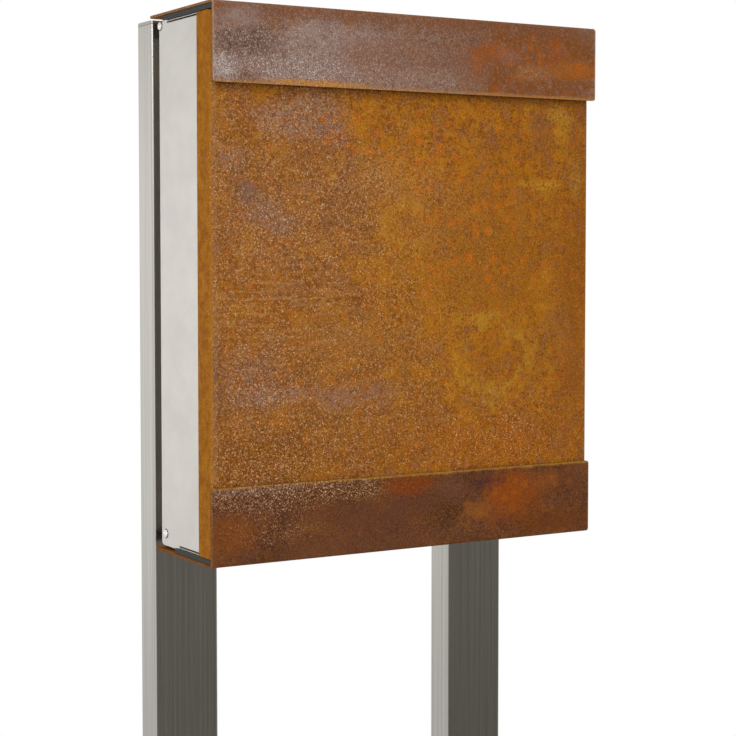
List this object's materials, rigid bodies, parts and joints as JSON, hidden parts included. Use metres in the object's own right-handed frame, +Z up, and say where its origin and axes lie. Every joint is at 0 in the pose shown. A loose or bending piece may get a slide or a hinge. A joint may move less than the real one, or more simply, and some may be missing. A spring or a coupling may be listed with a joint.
{
  "type": "letter box on posts",
  "caption": "Letter box with rusted weathering-steel hood, front panel and drop tray around a stainless sleeve, held off two stainless posts.",
  "frame": {"origin": "on the ground, under the middle of the whole part", "axes": "+Z up, -Y out of the front panel towards the street, +X to the right of someone who faces the front"},
  "size_m": [0.391, 0.2408, 1.2],
  "materials": {
    "hood_weathering_steel": "purple-brown rust film with pale mill specks",
    "tray_weathering_steel": "dark brown rust film with orange patches",
    "panel_weathering_steel": "fine ochre and orange rust bloom",
    "housing_stainless": "fine matt ground",
    "carrier_stainless": "matt rolled",
    "post_stainless": "long-grain brushed",
    "ground_stainless": "ground",
    "black_rubber": "matt",
    "foam_tape": "matt",
    "zinc_plate": "zinc plated",
    "nickel_plate": "nickel plated"
  },
  "bodies": {
    "stand": {"post_left": "post_stainless", "post_right": "post_stainless", "post_cap_left": "ground_stainless", "post_cap_right": "ground_stainless", "base_plate_left": "post_stainless", "base_plate_right": "post_stainless", "housing": "housing_stainless", "front_panel": "panel_weathering_steel", "panel_tape_left": "foam_tape", "panel_tape_middle": "foam_tape", "panel_tape_right": "foam_tape", "bolt_left_lower": "zinc_plate", "bolt_left_upper": "zinc_plate", "bolt_right_lower": "zinc_plate", "bolt_right_upper": "zinc_plate", "washer_left_lower": "zinc_plate", "washer_left_upper": "zinc_plate", "washer_right_lower": "zinc_plate", "washer_right_upper": "zinc_plate", "spacer_sleeve_left_lower": "ground_stainless", "spacer_sleeve_left_upper": "ground_stainless", "spacer_sleeve_right_lower": "ground_stainless", "spacer_sleeve_right_upper": "ground_stainless", "rivet_nut_left_lower": "zinc_plate", "rivet_nut_left_upper": "zinc_plate", "rivet_nut_right_lower": "zinc_plate", "rivet_nut_right_upper": "zinc_plate", "hood_pin_left": "ground_stainless", "hood_pin_right": "ground_stainless", "tray_pin_left": "ground_stainless", "tray_pin_right": "ground_stainless", "lock_catch": "zinc_plate"},
    "hood": {"hood_cover": "hood_weathering_steel", "hood_carrier": "carrier_stainless", "hood_strip_left": "black_rubber", "hood_strip_right": "black_rubber", "hood_pad_left": "black_rubber", "hood_pad_right": "black_rubber"},
    "tray": {"tray_cover": "tray_weathering_steel", "tray_carrier": "carrier_stainless", "tray_strip_left": "black_rubber", "tray_strip_right": "black_rubber", "tray_pad_left": "black_rubber", "tray_pad_right": "black_rubber", "lock_body": "nickel_plate", "lock_nut": "zinc_plate"},
    "lock": {"lock_plug": "nickel_plate", "lock_cam": "zinc_plate", "cam_screw": "zinc_plate"}
  },
  "joints": [
    {"name": "hood_hinge", "type": "hinge", "parent": "stand", "child": "hood", "pos_m": [0, -0.012, 1.1905], "axis": [-1, 0, 0], "range_deg": [0, 75]},
    {"name": "tray_hinge", "type": "hinge", "parent": "stand", "child": "tray", "pos_m": [0, -0.0181, 0.7649], "axis": [1, 0, 0], "range_deg": [0, 85]},
    {"name": "lock_turn", "type": "hinge", "parent": "tray", "child": "lock", "pos_m": [0, -0.084, 0.7706], "axis": [0, 0, -1], "range_deg": [0, 90]}
  ]
}
